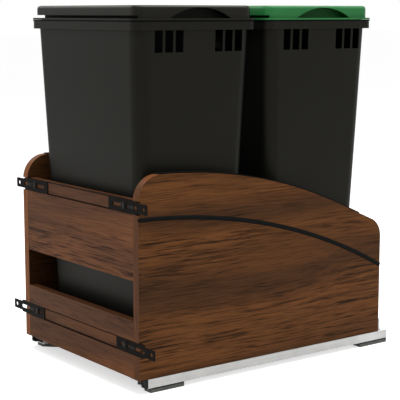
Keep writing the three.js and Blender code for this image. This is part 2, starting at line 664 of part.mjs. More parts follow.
function slotPath([a0, a1], middle, height) {
  return roundedRectangle([a0, a1], [middle - height / 2, middle + height / 2], height / 2 - 1e-3);
}

function bracketGeometry(reach, height) {
  const tabEnd = HALF_WIDTH + reach;
  const plateEnd = tabEnd - BRACKET_TAB_LENGTH;
  const inner = plateEnd - BRACKET_PLATE_LENGTH;
  const slotStart = inner + BRACKET_SLOT_START;
  const slot = slotPath([slotStart, slotStart + BRACKET_SLOT_LENGTH], height, BRACKET_SLOT_HEIGHT);
  const half = BRACKET_HEIGHT / 2;
  const tabHalf = BRACKET_TAB_HEIGHT / 2;
  const r = BRACKET_CORNER_RADIUS;
  const sheet = [BRACKET_SETBACK, BRACKET_SETBACK + BRACKET_STEEL];
  const plate = pushBack(
    roundedRectangle([inner, plateEnd], [height - half, height + half], r),
    ...sheet, { segments: 2 });
  const tab = pushBack(
    roundedRectangle([plateEnd - BRACKET_TAB_LAP, tabEnd], [height - tabHalf, height + tabHalf],
      [0, r, r, 0]), ...sheet, { segments: 2 });
  const lips = [-1, 1].map((side) => {
    const edge = height + side * half;
    const inside = edge - side * BRACKET_STEEL;
    return box([inner + r, plateEnd - r],
      [BRACKET_SETBACK + BRACKET_STEEL / 2, BRACKET_SETBACK + BRACKET_LIP_DEPTH],
      [Math.min(edge, inside), Math.max(edge, inside)]);
  });
  const hole = new THREE.CylinderGeometry(
    DOOR_SCREW_HOLE / 2, DOOR_SCREW_HOLE / 2, CUT_THROUGH, 16);
  hole.translate(tabEnd - DOOR_SCREW_INSET, 0, height);
  return cut(join(plate, tab, ...lips),
    pushBack(slot, -CUT_THROUGH, CUT_THROUGH, { segments: 3 }), hole);
}

// The clamp's screw disc lies over the bracket's slot. Its neck and its guide bar fill the slot's
// height, so that the bracket stays level, and the wood shows through the bar's window.
function clampGeometry(height) {
  const centre = HALF_WIDTH - CLAMP_INSET;
  const barHalf = CLAMP_BAR_HEIGHT / 2;
  const rear = TRACK_FLOOR - TRACK_CLEARANCE;
  const discRear = BRACKET_SETBACK - TRACK_CLEARANCE;
  const disc = new THREE.CylinderGeometry(CLAMP_DISC_RADIUS, CLAMP_DISC_RADIUS - CLAMP_DISC_TAPER,
    discRear + CLAMP_THICKNESS, 20);
  disc.translate(centre, (discRear - CLAMP_THICKNESS) / 2, height);
  const neck = new THREE.CylinderGeometry(barHalf, barHalf, rear + CLAMP_THICKNESS / 2, 16);
  neck.translate(centre, (rear - CLAMP_THICKNESS / 2) / 2, height);
  const bar = pushBack(
    slotPath([centre - barHalf, centre + CLAMP_BAR_REACH], height, CLAMP_BAR_HEIGHT),
    BRACKET_SETBACK + CLAMP_BAR_SETBACK, rear, { segments: 4 });
  const window = box(CLAMP_WINDOW.map((along) => centre + along), [-CUT_THROUGH, CUT_THROUGH],
    [height - CLAMP_WINDOW_HEIGHT / 2, height + CLAMP_WINDOW_HEIGHT / 2]);
  return cut(join(disc, neck, bar), window);
}

addPair('door_bracket_upper', bracketGeometry(UPPER_BRACKET_REACH, UPPER_TRACK_HEIGHT),
  BLACK_STEEL);
addPair('door_bracket_lower', bracketGeometry(LOWER_BRACKET_REACH, LOWER_TRACK_HEIGHT),
  BLACK_STEEL);
addPair('bracket_clamp_upper', clampGeometry(UPPER_TRACK_HEIGHT), BLACK_STEEL);
addPair('bracket_clamp_lower', clampGeometry(LOWER_TRACK_HEIGHT), BLACK_STEEL);

// ---------------------------------------------------------------- slides

// Channel outline in x, z: open upwards, or turned over when the floor is its top.
function channel([x0, x1], floorZ, sheet, outerTip, innerTip) {
  const inside = floorZ + Math.sign(outerTip - floorZ) * sheet;
  return outline([
    [x0, floorZ], [x1, floorZ], [x1, outerTip], [x1 - sheet, outerTip],
    [x1 - sheet, inside], [x0 + sheet, inside], [x0 + sheet, innerTip], [x0, innerTip],
  ]);
}

const CABINET_X = [SLIDE_OUTER_X - SLIDE_WIDTH, SLIDE_OUTER_X];
const MIDDLE_X = [CABINET_X[0] + STEEL + MIDDLE_SIDE_GAP / 2,
  CABINET_X[1] - STEEL - MIDDLE_SIDE_GAP];
const DRAWER_X = [MIDDLE_X[0] + DRAWER_SIDE_GAP, MIDDLE_X[1] - DRAWER_SIDE_GAP];
const CABINET_FLOOR = -SLIDE_DEPTH_BELOW + STEEL;
const MIDDLE_FLOOR = CABINET_FLOOR + MIDDLE_FLOOR_GAP;

addPair('cabinet_member', pushBack(
  channel(CABINET_X, -SLIDE_DEPTH_BELOW, STEEL, -SLIDE_TOP_GAP, -SLIDE_INNER_LIP),
  SLIDE_FRONT, SLIDE_REAR), ZINC);

addPair('middle_member', pushBack(
  channel(MIDDLE_X, MIDDLE_FLOOR, MIDDLE_STEEL, -MIDDLE_TOP, -MIDDLE_TOP),
  MEMBER_FRONT, MIDDLE_REAR), ZINC);

const drawerLegs = pushBack(
  channel(DRAWER_X, -JOINT_GAP, STEEL, -DRAWER_MEMBER_LEG, -DRAWER_MEMBER_LEG),
  MEMBER_FRONT, DRAWER_REAR);
const drawerTongue = box(DRAWER_X,
  [DRAWER_REAR - DRAWER_TONGUE_LAP, BOX_DEPTH + DRAWER_MEMBER_REAR],
  [-JOINT_GAP - STEEL, -JOINT_GAP]);
addPair('drawer_member', join(drawerLegs, drawerTongue), ZINC);

// Flat cage with cross rollers that carries one slide member on the next. It stands midway
// between the front of the member below and the rear of the member above.
function cage([x0, x1], [z0, z1], [y0, y1]) {
  const front = (y0 + y1 - CAGE_LENGTH) / 2;
  const radius = (z1 - z0) / 2 - ROLLER_GAP;
  const middleZ = (z0 + z1) / 2;
  const sheet = box([x0, x1], [front, front + CAGE_LENGTH],
    [middleZ - CAGE_SHEET / 2, middleZ + CAGE_SHEET / 2]);
  const rollers = [];
  for (let i = 0; i < CAGE_ROLLERS; i++) {
    const roller = new THREE.CylinderGeometry(radius, radius, x1 - x0 - 2 * ROLLER_END_GAP, 10);
    roller.rotateZ(Math.PI / 2);
    const y = front + (i + 0.5) * CAGE_LENGTH / CAGE_ROLLERS;
    rollers.push(roller.translate((x0 + x1) / 2, y, middleZ));
  }
  return join(sheet, ...rollers);
}

const UPPER_CAGE_MARGIN = MIDDLE_STEEL + CAGE_SIDE_GAP;
addPair('lower_roller_cage', cage([MIDDLE_X[0] + CAGE_SIDE_GAP, MIDDLE_X[1] - CAGE_SIDE_GAP],
  [CABINET_FLOOR, MIDDLE_FLOOR], [SLIDE_FRONT, MIDDLE_REAR]), ZINC);
addPair('upper_roller_cage',
  cage([MIDDLE_X[0] + UPPER_CAGE_MARGIN, MIDDLE_X[1] - UPPER_CAGE_MARGIN],
    [MIDDLE_FLOOR + MIDDLE_STEEL, -DRAWER_MEMBER_LEG], [MEMBER_FRONT, DRAWER_REAR]), ZINC);

// Bracket that hooks into the side panel's rear edge and stands on the drawer member.
function hookGeometry() {
  const y0 = BOX_DEPTH + JOINT_GAP;
  const plate = pushAcross(
    roundedRectangle([y0, y0 + HOOK_LENGTH], [0, HOOK_HEIGHT], [0, 0, HOOK_CORNER_RADIUS, 0]),
    HOOK_X - HOOK_THICKNESS / 2, HOOK_X + HOOK_THICKNESS / 2, { segments: 3 });
  const foot = box([DRAWER_X[0] + HOOK_FOOT_INSET, HOOK_X], [y0, y0 + HOOK_LENGTH],
    [0, HOOK_THICKNESS]);
  const pin = new THREE.CylinderGeometry(HOOK_PIN_RADIUS, HOOK_PIN_RADIUS, HOOK_PIN_LENGTH, 12);
  pin.translate(HOOK_X, y0 + HOOK_PIN_ROOT - HOOK_PIN_LENGTH / 2, HOOK_PIN_HEIGHT);
  const hole = new THREE.CylinderGeometry(HOOK_HOLE_RADIUS, HOOK_HOLE_RADIUS, CUT_THROUGH, 12);
  hole.rotateZ(Math.PI / 2);
  hole.translate(HOOK_X, y0 + HOOK_HOLE_INSET, HOOK_HEIGHT - HOOK_HOLE_DROP);
  return cut(join(plate, foot, pin), hole);
}
addPair('rear_hook_bracket', hookGeometry(), ZINC);

const CAP_FRONT = SLIDE_FRONT - CAP_LENGTH - JOINT_GAP;
const CAP_BACK = SLIDE_FRONT - JOINT_GAP;
const CAP_BOTTOM = -SLIDE_DEPTH_BELOW + CAP_FLOOR_GAP;

// The cap covers the outer flange and the floor of the channel, and leaves the way out free
// for the members that run in it.
const capWall = pushAcross(
  roundedRectangle([CAP_FRONT, CAP_BACK], [CAP_BOTTOM, -SLIDE_TOP_GAP],
    [CAP_CORNER_RADIUS, 0, 0, CAP_CORNER_RADIUS]),
  MIDDLE_X[1] + JOINT_GAP, SLIDE_OUTER_X + CAP_PROUD, { segments: 2 });
const capSill = pushAcross(
  roundedRectangle([CAP_FRONT, CAP_BACK], [CAP_BOTTOM, MIDDLE_FLOOR - JOINT_GAP],
    [CAP_CORNER_RADIUS, 0, 0, 0]),
  SLIDE_OUTER_X - CAP_WIDTH, SLIDE_OUTER_X, { segments: 2 });
addPair('front_end_cap', join(capWall, capSill), BLACK_PLASTIC);

const CLIP_OUTER = SLIDE_OUTER_X - CAP_WIDTH - JOINT_GAP;
const CLIP_INNER = CLIP_OUTER - CLIP_WIDTH;
addPair('locking_clip', pushBack(
  roundedRectangle([CLIP_INNER, CLIP_OUTER], [-CLIP_HEIGHT, -JOINT_GAP],
    [CLIP_CORNER_RADIUS, CLIP_CORNER_RADIUS, 0, 0]),
  CAP_FRONT, MEMBER_FRONT - JOINT_GAP, { segments: 2 }), BLACK_PLASTIC);

const LEVER_OUTER = CLIP_INNER - LEVER_GAP;
const LEVER_PIVOT_RADIUS = LEVER_WIDTH / 2 - 1e-3;
addPair('release_lever', pushUp(
  roundedRectangle([LEVER_OUTER - LEVER_WIDTH, LEVER_OUTER], [CAP_FRONT, CAP_FRONT + LEVER_LENGTH],
    [LEVER_NOSE_RADIUS, 0, LEVER_PIVOT_RADIUS, LEVER_PIVOT_RADIUS]),
  -JOINT_GAP - LEVER_HEIGHT, -JOINT_GAP, { segments: 5 }), BLACK_PLASTIC);

// ---------------------------------------------------------------- feet

function footOutline(front) {
  const outer = SLIDE_OUTER_X;
  return outline([
    [outer, front], [outer, front + FOOT_LENGTH],
    [outer - FOOT_WIDTH, front + FOOT_LENGTH], [outer - FOOT_WIDTH, front + FOOT_SLANT],
    [outer - FOOT_FRONT_WIDTH, front],
  ]);
}

const FOOT_TOP = -SLIDE_DEPTH_BELOW - PAD_THICKNESS - 2 * JOINT_GAP;
const FOOT_PLACES = { front: SLIDE_FRONT + FOOT_FRONT_INSET, rear: SLIDE_REAR - FOOT_LENGTH };

for (const [place, front] of Object.entries(FOOT_PLACES)) {
  const screwHole = new THREE.CylinderGeometry(
    FOOT_SCREW_RADIUS, FOOT_SCREW_RADIUS, CUT_THROUGH, 12);
  screwHole.rotateX(Math.PI / 2);
  screwHole.translate(SLIDE_OUTER_X - FOOT_WIDTH + FOOT_SCREW_SIDE_INSET,
    front + FOOT_LENGTH - FOOT_SCREW_REAR_INSET, -BASE_HEIGHT);
  addPair(`foot_${place}`, cut(pushUp(footOutline(front), -BASE_HEIGHT, FOOT_TOP), screwHole),
    FOOT_GREY);
  addPair(`foot_pad_${place}`, box(CABINET_X, [front + PAD_FRONT_INSET, front + FOOT_LENGTH],
    [FOOT_TOP + JOINT_GAP, -SLIDE_DEPTH_BELOW - JOINT_GAP]), BLACK_PLASTIC);
}

// ---------------------------------------------------------------- origin

cabinet.position.set(0, -(FRONT_REACH + REAR_REACH) / 2, BASE_HEIGHT);

export default cabinet;
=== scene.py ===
"""A pull-out waste cabinet: a walnut box on floor slides that carries two lidded bins.

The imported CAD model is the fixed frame. Each section below finishes one group of its pieces, in
the order in which the cabinet is put together. Lengths are metres, +Z is up, -Y is the front.
"""

import json
import math

import bpy
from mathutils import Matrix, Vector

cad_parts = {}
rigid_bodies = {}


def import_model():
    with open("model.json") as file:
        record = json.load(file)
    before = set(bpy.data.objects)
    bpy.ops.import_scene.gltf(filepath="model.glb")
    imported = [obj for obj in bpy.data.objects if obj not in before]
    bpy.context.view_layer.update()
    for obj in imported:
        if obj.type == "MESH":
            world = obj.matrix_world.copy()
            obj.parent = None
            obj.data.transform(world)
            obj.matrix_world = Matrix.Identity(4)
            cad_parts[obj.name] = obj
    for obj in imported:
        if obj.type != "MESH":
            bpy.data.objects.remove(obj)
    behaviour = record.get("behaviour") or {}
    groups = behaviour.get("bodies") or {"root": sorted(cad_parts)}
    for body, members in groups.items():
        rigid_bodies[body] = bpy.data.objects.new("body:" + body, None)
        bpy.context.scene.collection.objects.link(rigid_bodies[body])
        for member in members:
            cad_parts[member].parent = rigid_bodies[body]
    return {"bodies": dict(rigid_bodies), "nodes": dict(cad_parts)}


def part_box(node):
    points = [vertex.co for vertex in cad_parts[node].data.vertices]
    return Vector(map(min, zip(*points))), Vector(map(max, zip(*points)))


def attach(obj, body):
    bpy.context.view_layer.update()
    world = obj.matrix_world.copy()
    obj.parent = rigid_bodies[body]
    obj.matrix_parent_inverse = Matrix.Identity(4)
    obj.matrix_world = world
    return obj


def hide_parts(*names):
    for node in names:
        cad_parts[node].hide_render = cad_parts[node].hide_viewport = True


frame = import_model()
nodes = frame["nodes"]
for spare in list(bpy.data.objects):
    if spare not in nodes.values() and spare not in frame["bodies"].values():
        bpy.data.objects.remove(spare)
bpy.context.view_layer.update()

# ---------------------------------------------------------------- feet
# Four grey zinc castings stand on the cabinet's floor and carry the ends of the slides. Each has
# a slanted inner corner and a screw hole, and a thin black rubber pad between it and the slide.

MM = 0.001
NEAR = 0.01 * MM                        # closer than this counts as touching
SIDES = ("left", "right")
ENDS = ("front", "rear")                # of the slides, and of the pair of bins
FLAT_ANGLE = math.radians(0.6)          # CAD triangles that meet flatter than this are one face
CORNER_ANGLE = math.radians(40)         # edges that turn by more than this are broken
SMOOTH_ANGLE = math.radians(38)         # faces that meet flatter than this are shaded as one
PATCH_START = 0.35                      # noise at which the second shade of a skin sets in
PATCH_END = 0.65
SKIN_DEPTH = 0.2 * MM                   # of the fine grain on cast and moulded surfaces
FOOT_EDGE = 0.5 * MM


def shader_node(tree, kind, sockets=(), **settings):
    """A shader node: sockets of other nodes are linked to its own, and numbers are set on them."""
    made = tree.nodes.new("ShaderNode" + kind)
    for name, value in settings.items():
        setattr(made, name, value)
    for name, value in dict(sockets).items():
        if isinstance(value, bpy.types.NodeSocket):
            tree.links.new(value, made.inputs[name])
        else:
            made.inputs[name].default_value = value
    return made


def rising(tree, factor, start, end, low=0.0):
    """A grey that rises from low, where the factor is start, to white, where it is end."""
    made = shader_node(tree, "ValToRGB", {"Fac": factor})
    first, last = made.color_ramp.elements
    last.position = end
    first.position = start
    first.color = (low, low, low, 1)
    last.color = (1, 1, 1, 1)
    return made.outputs["Color"]


def mixed(tree, factor, first, second, blend="MIX"):
    """Two colours mixed by a factor. The Mix node's socket names repeat, so they go by number."""
    made = shader_node(tree, "Mix", data_type="RGBA", blend_type=blend)
    ends = ((made.inputs[0], factor), (made.inputs[6], first), (made.inputs[7], second))
    for socket, value in ends:
        if isinstance(value, bpy.types.NodeSocket):
            tree.links.new(value, socket)
        else:
            socket.default_value = value if isinstance(value, (int, float)) else (*value, 1)
    return made.outputs[2]


def combined(tree, operation, first, second, **settings):
    """Two values put through one Math node, such as ADD or MULTIPLY."""
    made = shader_node(tree, "Math", {0: first, 1: second}, operation=operation, **settings)
    return made.outputs[0]


def stretched(tree, vector, scale):
    """Coordinates multiplied by their own number on each axis."""
    made = shader_node(tree, "VectorMath", {0: vector, 1: scale}, operation="MULTIPLY")
    return made.outputs[0]


def cloud(tree, vector, scale=1.0, detail=2.0, roughness=0.5):
    """Noise from 0 to 1 over coordinates."""
    made = shader_node(tree, "TexNoise", {"Vector": vector, "Scale": scale, "Detail": detail,
                                          "Roughness": roughness})
    return made.outputs["Fac"]


def new_group(name, inputs, outputs):
    """An empty node group: inputs and outputs are {name: kind}, where kind is a socket's type."""
    tree = bpy.data.node_groups.new(name, "ShaderNodeTree")
    for direction, sockets in (("INPUT", inputs), ("OUTPUT", outputs)):
        for label, kind in sockets.items():
            tree.interface.new_socket(label, in_out=direction, socket_type="NodeSocket" + kind)
    return tree, tree.nodes.new("NodeGroupInput"), tree.nodes.new("NodeGroupOutput")


def new_surface(name, roughness, specular=0.5, metallic=0.0, sheen=(1, 1, 1)):
    """A material with its shader's plain numbers set, and the object's own coordinates."""
    material = bpy.data.materials.new(name)
    material.use_nodes = True
    tree = material.node_tree
    shader = tree.nodes["Principled BSDF"]
    shader.inputs["Roughness"].default_value = roughness
    shader.inputs["Specular IOR Level"].default_value = specular
    shader.inputs["Metallic"].default_value = metallic
    shader.inputs["Specular Tint"].default_value = (*sheen, 1)
    return material, tree, shader, shader_node(tree, "TexCoord").outputs["Object"]


def raise_surface(tree, shader, height, strength, depth):
    """Bump on a shader from a height."""
    bump = shader_node(tree, "Bump", {"Height": height, "Strength": strength, "Distance": depth})
    tree.links.new(bump.outputs["Normal"], shader.inputs["Normal"])


# Blotches of two shades with a grain of their own size, for cast, rubber and moulded surfaces.
blotch, blotch_in, blotch_out = new_group(
    "blotched_skin",
    {"Vector": "Vector", "Blotch Scale": "Float", "Grain Scale": "Float",
     "Low Color": "Color", "High Color": "Color"},
    {"Color": "Color", "Height": "Float"})
patches = cloud(blotch, blotch_in.outputs["Vector"], blotch_in.outputs["Blotch Scale"],
                detail=4, roughness=0.6)
skin_grain = cloud(blotch, blotch_in.outputs["Vector"], blotch_in.outputs["Grain Scale"],
                   detail=1)
patch_share = rising(blotch, patches, PATCH_START, PATCH_END)
blotch.links.new(mixed(blotch, patch_share, blotch_in.outputs["Low Color"],
                       blotch_in.outputs["High Color"]), blotch_out.inputs["Color"])
blotch.links.new(skin_grain, blotch_out.inputs["Height"])


def skinned(name, low, high, blotch_scale, grain_scale, grain, roughness,
            specular, sheen=(1, 1, 1)):
    """A material of the blotched skin: two shades, the size of each pattern, the grain's depth."""
    material, tree, shader, place = new_surface(name, roughness, specular, sheen=sheen)
    skin = shader_node(tree, "Group", node_tree=blotch)
    tree.links.new(place, skin.inputs["Vector"])
    skin.inputs["Blotch Scale"].default_value = blotch_scale
    skin.inputs["Grain Scale"].default_value = grain_scale
    skin.inputs["Low Color"].default_value = (*low, 1)
    skin.inputs["High Color"].default_value = (*high, 1)
    tree.links.new(skin.outputs["Color"], shader.inputs["Base Color"])
    raise_surface(tree, shader, skin.outputs["Height"], grain, SKIN_DEPTH)
    return material


def take_up(piece):
    """One piece selected alone, for the operators to work on."""
    bpy.ops.object.select_all(action="DESELECT")
    piece.select_set(True)
    bpy.context.view_layer.objects.active = piece


def dressed(node, name, body, material, edge, segments=2):
    """A copy of a CAD piece with whole faces and broken edges, shown in the piece's place."""
    mesh = nodes[node].data.copy()
    piece = bpy.data.objects.new(name, mesh)
    bpy.context.scene.collection.objects.link(piece)
    take_up(piece)
    bpy.ops.object.mode_set(mode="EDIT")
    bpy.ops.mesh.customdata_custom_splitnormals_clear()
    bpy.ops.mesh.select_all(action="SELECT")
    bpy.ops.mesh.remove_doubles(threshold=NEAR)
    bpy.ops.mesh.dissolve_limited(angle_limit=FLAT_ANGLE)
    bpy.ops.object.mode_set(mode="OBJECT")
    bevel = piece.modifiers.new("broken edges", "BEVEL")
    bevel.width = edge
    bevel.segments = segments
    bevel.limit_method = "ANGLE"
    bevel.angle_limit = CORNER_ANGLE
    bevel.miter_outer = "MITER_ARC"
    bpy.ops.object.modifier_apply(modifier=bevel.name)
    bpy.ops.object.shade_smooth_by_angle(angle=SMOOTH_ANGLE)
    flat_faces = piece.modifiers.new("flat faces stay flat", "WEIGHTED_NORMAL")
    flat_faces.keep_sharp = True
    bpy.ops.object.modifier_apply(modifier=flat_faces.name)
    mesh.materials.clear()
    mesh.materials.append(material)
    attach(piece, body)
    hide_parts(node)
    return piece


def coated(node, material):
    """A CAD piece that stays as it is and takes a finished material."""
    nodes[node].data.materials.clear()
    nodes[node].data.materials.append(material)


cast_zinc = skinned("cast_zinc_grey", low=(0.068, 0.070, 0.061), high=(0.13, 0.134, 0.116),
                    blotch_scale=260, grain_scale=900, grain=0.5, roughness=0.55, specular=0.4)
pad_rubber = skinned("pad_rubber", low=(0.004, 0.004, 0.004), high=(0.007, 0.007, 0.007),
                     blotch_scale=120, grain_scale=1500, grain=0.3, roughness=0.8, specular=0.10)
for place in ENDS:
    for side in SIDES:
        dressed(f"foot_{place}_{side}", f"cast_foot_{place}_{side}", "slide_base",
                cast_zinc, FOOT_EDGE)
        coated(f"foot_pad_{place}_{side}", pad_rubber)

# ---------------------------------------------------------------- slides
# Two full-extension slides of folded zinc-plated sheet. The outer member is screwed to the feet,
# the middle one and the roller cages run in it, and the inner one carries the wooden box.

SLIDE_EDGE = 0.25 * MM
PLATING_METAL = 0.85
PLATING_START = 0.36                    # noise at which the plating's second shade sets in
PLATING_END = 0.64
ROLLING_STRETCH = (1400, 9, 1400)       # fine across the strip and long along it
ROLLING_SHARE = 0.55                    # of the rolling lines in the plating's shade
FLOW_SIZE = 22
FLOW_SHARE = 0.45                       # of slow patches in the same shade
ROLLING_BUMP = 0.2
ROLLING_DEPTH = 0.05 * MM


def plated(name, low, high, roughness):
    """Bright zinc plating with faint rolling lines along the strip."""
    material, tree, shader, place = new_surface(name, roughness, metallic=PLATING_METAL)
    lines = cloud(tree, stretched(tree, place, ROLLING_STRETCH))
    flow = cloud(tree, place, FLOW_SIZE, detail=3, roughness=0.6)
    share = combined(tree, "ADD", combined(tree, "MULTIPLY", lines, ROLLING_SHARE),
                     combined(tree, "MULTIPLY", flow, FLOW_SHARE))
    tree.links.new(mixed(tree, rising(tree, share, PLATING_START, PLATING_END), low, high),
                   shader.inputs["Base Color"])
    raise_surface(tree, shader, lines, ROLLING_BUMP, ROLLING_DEPTH)
    return material


zinc = plated("bright_zinc", low=(0.54, 0.54, 0.53), high=(0.70, 0.70, 0.69), roughness=0.34)
roller_steel = plated("roller_steel", low=(0.30, 0.30, 0.29), high=(0.42, 0.42, 0.41),
                      roughness=0.28)
for side in SIDES:
    dressed(f"cabinet_member_{side}", f"outer_slide_{side}", "slide_base",
            zinc, SLIDE_EDGE)
    coated(f"middle_member_{side}", zinc)
    dressed(f"drawer_member_{side}", f"inner_slide_{side}", "carriage",
            zinc, SLIDE_EDGE)
    coated(f"lower_roller_cage_{side}", roller_steel)
    coated(f"upper_roller_cage_{side}", roller_steel)
    dressed(f"rear_hook_bracket_{side}", f"hook_plate_{side}", "carriage",
            zinc, SLIDE_EDGE)

# ---------------------------------------------------------------- slide fittings
# Moulded black end caps close the fronts of the outer slides. Behind them a dark grey clip under
# the front board locks the box to its slide, and the small lever beside the clip lets it go.

FITTING_EDGE = 0.4 * MM

fitting_plastic = skinned("fitting_plastic", low=(0.008, 0.009, 0.009), high=(0.013, 0.015, 0.014),
                          blotch_scale=60, grain_scale=1300, grain=0.25, roughness=0.42,
                          specular=0.22)
clip_plastic = skinned("clip_plastic", low=(0.030, 0.027, 0.023), high=(0.048, 0.043, 0.037),
                       blotch_scale=60, grain_scale=1300, grain=0.25, roughness=0.40,
                       specular=0.35)
for side in SIDES:
    dressed(f"front_end_cap_{side}", f"slide_end_cap_{side}", "slide_base",
            fitting_plastic, FITTING_EDGE)
    dressed(f"locking_clip_{side}", f"box_clip_{side}", "carriage",
            clip_plastic, FITTING_EDGE)
    dressed(f"release_lever_{side}", f"clip_lever_{side}", f"release_lever_{side}",
            fitting_plastic, FITTING_EDGE)

# ---------------------------------------------------------------- walnut box
# Panels and boards veneered with walnut, its grain level all round and their edges banded in a
# plainer, lighter strip of the same wood. The front and back boards' veneer is painted lighter and
# bluer, as sheen from the front light. The side panels' inner faces are painted darker low down, as
# the shade inside the box, and the saw kerfs beside the door brackets are painted near black, as
# the shade in them.

PANEL_EDGE = 0.7 * MM
BOARD_EDGE = 0.5 * MM
ACROSS, ALONG, UP = 0, 1, 2             # the axes: left to right, front to back, and upwards
FACING = 0.9                            # a face looks along an axis if its normal has this of it
LEVEL_ACROSS = (0, 0, 0)                # leaves the grain from left to right
LEVEL_ALONG = (0, 0, -math.pi / 2)      # turns it from front to back
UPRIGHT = (0, math.pi / 2, 0)           # turns it upwards
VENEER_LIGHT = (0.176, 0.0665, 0.0195)
VENEER_MIDDLE = (0.089, 0.0358, 0.0122)
VENEER_DARK = (0.016, 0.0071, 0.0032)
EDGE_TINT = (1.38, 1.32, 1.54)
# Painted sheen: the front and back boards' veneer is lighter and bluer, standing in for the front
# light's reflection.
FRONT_SHEEN_TINT = (1.24, 1.22, 1.48)
# Painted shade of the kerfs: the veneer made near black.
KERF_SHADE_TINT = (0.10, 0.10, 0.12)
DRIFT_STRETCH = (2.6, 8, 8)             # of the slow noise that bends the grain
DRIFT_MIDDLE = 0.5                      # noise that doesn't bend it
DRIFT_REACH = 0.026
LINE_SHARE = 0.74                      # how dark each kind of mark is, from none to all
STREAK_SHARE = 0.30
HAIR_SHARE = 0.36
PORE_SHARE = 0.12
WOOD_ROUGHNESS = 0.5                    # stands on the shader where the grain's own isn't read
LIGHT_ROUGHNESS = 0.44
DARK_ROUGHER = 0.14                     # what the darkest marks add to it
WOOD_SPECULAR = 0.07
WOOD_BUMP = 0.22
WOOD_DEPTH = 0.12 * MM
LOW_SHADE = 0.24                            # share of the wood's own colour that the full painted shade leaves
LOW_SHADE_FULL = 0.20                       # the painted shade is full below this height
LOW_SHADE_END = 0.26                        # and ends at this one
LEVELS = ("upper", "lower")             # of the door brackets and their tracks
RECESS_FLOOR = 2.2 * MM                 # just behind the floor that a bracket's plate lies on
KERF_START = 1.0 * MM
KERF_END = 4.5 * MM
KERF_REACH = 3.0 * MM                   # above and below a bracket's edges

# Walnut grain along the first axis: broad bands of two tones, thin dark lines that gather in
# places, a few wider streaks, hair lines and short pores, all bent together by one slow drift.
grain, grain_in, grain_out = new_group(
    "walnut_grain",
    {"Vector": "Vector", "Light Color": "Color", "Middle Color": "Color", "Dark Color": "Color",
     "Lines": "Float"},
    {"Color": "Color", "Roughness": "Float", "Height": "Float"})
drift = cloud(grain, stretched(grain, grain_in.outputs["Vector"], DRIFT_STRETCH), detail=3)
bend = combined(grain, "MULTIPLY", combined(grain, "SUBTRACT", drift, DRIFT_MIDDLE), DRIFT_REACH)
sideways = shader_node(grain, "CombineXYZ", {"X": 0.0, "Y": bend, "Z": bend}).outputs[0]
flowing = shader_node(grain, "VectorMath", {0: grain_in.outputs["Vector"], 1: sideways},
                      operation="ADD").outputs[0]


def drawn_out(along, across, detail, roughness, start, end, low=0.0):
    """A mask of noise that is drawn out along the grain, from low at start to 1 at end."""
    field = cloud(grain, stretched(grain, flowing, (along, across, across)),
                  detail=detail, roughness=roughness)
    return rising(grain, field, start, end, low)


bands = drawn_out(along=0.9, across=11, detail=3, roughness=0.5, start=0.43, end=0.57)
gathered = drawn_out(along=1.6, across=16, detail=2, roughness=0.5, start=0.36, end=0.60, low=0.25)
thin_lines = drawn_out(along=9, across=270, detail=3, roughness=0.62, start=0.48, end=0.64)
wide_streaks = drawn_out(along=4.5, across=80, detail=3, roughness=0.6, start=0.52, end=0.72)
hair_lines = drawn_out(along=20, across=620, detail=2, roughness=0.5, start=0.48, end=0.64)
pores = drawn_out(along=80, across=1700, detail=1, roughness=0.5, start=0.60, end=0.74)
ground = mixed(grain, bands, grain_in.outputs["Middle Color"], grain_in.outputs["Light Color"])
line_marks = combined(grain, "MULTIPLY", thin_lines, grain_in.outputs["Lines"])
streak_marks = combined(grain, "MULTIPLY", wide_streaks, STREAK_SHARE)
broad_marks = combined(grain, "MULTIPLY", gathered,
                       combined(grain, "ADD", line_marks, streak_marks))
fine_marks = combined(grain, "ADD", combined(grain, "MULTIPLY", hair_lines, HAIR_SHARE),
                      combined(grain, "MULTIPLY", pores, PORE_SHARE))
all_marks = combined(grain, "ADD", broad_marks, fine_marks, use_clamp=True)
grain.links.new(mixed(grain, all_marks, ground, grain_in.outputs["Dark Color"]),
                grain_out.inputs["Color"])
grain.links.new(combined(grain, "ADD", combined(grain, "MULTIPLY", all_marks, DARK_ROUGHER),
                         LIGHT_ROUGHNESS), grain_out.inputs["Roughness"])
grain.links.new(combined(grain, "SUBTRACT", 1.0, all_marks), grain_out.inputs["Height"])


def walnut(name, turn, shift, tint=(1, 1, 1), lines=LINE_SHARE, shaded_low=False):
    """Walnut veneer whose grain is turned and shifted, its three shades multiplied by a tint, and
    if asked painted darker low down as shade.
    """
    material, tree, shader, place = new_surface(name, WOOD_ROUGHNESS, WOOD_SPECULAR)
    placed = shader_node(tree, "Mapping", {"Vector": place, "Rotation": turn, "Location": shift})
    wood = shader_node(tree, "Group", node_tree=grain)
    tree.links.new(placed.outputs[0], wood.inputs["Vector"])
    for socket, shade in (("Light Color", VENEER_LIGHT), ("Middle Color", VENEER_MIDDLE),
                          ("Dark Color", VENEER_DARK)):
        wood.inputs[socket].default_value = (*(s * t for s, t in zip(shade, tint)), 1)
    wood.inputs["Lines"].default_value = lines
    color = wood.outputs["Color"]
    # Painted shade: below a height the colour is multiplied darker, standing in for the shade low
    # inside the box.
    if shaded_low:
        height = shader_node(tree, "SeparateXYZ", {"Vector": place}).outputs["Z"]
        painted_low_shade = rising(tree, height, LOW_SHADE_FULL, LOW_SHADE_END, LOW_SHADE)
        color = mixed(tree, 1.0, color, painted_low_shade, "MULTIPLY")
    tree.links.new(color, shader.inputs["Base Color"])
    tree.links.new(wood.outputs["Roughness"], shader.inputs["Roughness"])
    raise_surface(tree, shader, wood.outputs["Height"], WOOD_BUMP, WOOD_DEPTH)
    return material


def recoat(piece, material, chosen):
    """Another material on the faces of a piece that a test chooses."""
    piece.data.materials.append(material)
    place = len(piece.data.materials) - 1
    for face in piece.data.polygons:
        if chosen(face):
            face.material_index = place


